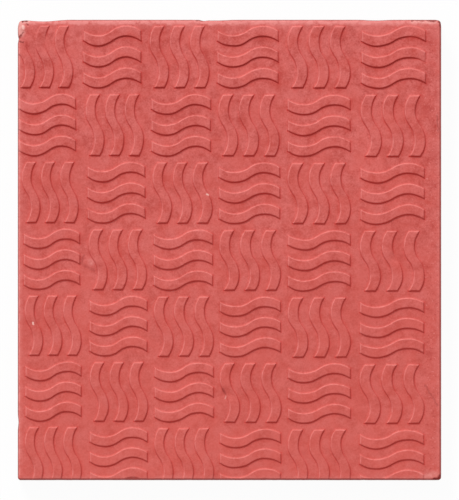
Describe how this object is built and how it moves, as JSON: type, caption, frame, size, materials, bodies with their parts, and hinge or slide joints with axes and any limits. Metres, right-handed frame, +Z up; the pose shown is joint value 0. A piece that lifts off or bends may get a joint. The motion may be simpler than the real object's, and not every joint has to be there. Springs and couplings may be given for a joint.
{
  "type": "concrete parking paver",
  "caption": "Rectangular wet-cast red concrete paver with a slip-resistant face of raised wave ribs in a basket weave, laid flat on a bed to pave a parking area.",
  "frame": {"origin": "centre of the flat bedding face", "axes": "+Z up out of the patterned face, +Y along the long side, +X along the short side"},
  "size_m": [0.276, 0.3, 0.025],
  "materials": {
    "red_concrete": "matte"
  },
  "bodies": {
    "root": {"paver": "red_concrete"}
  },
  "joints": []
}
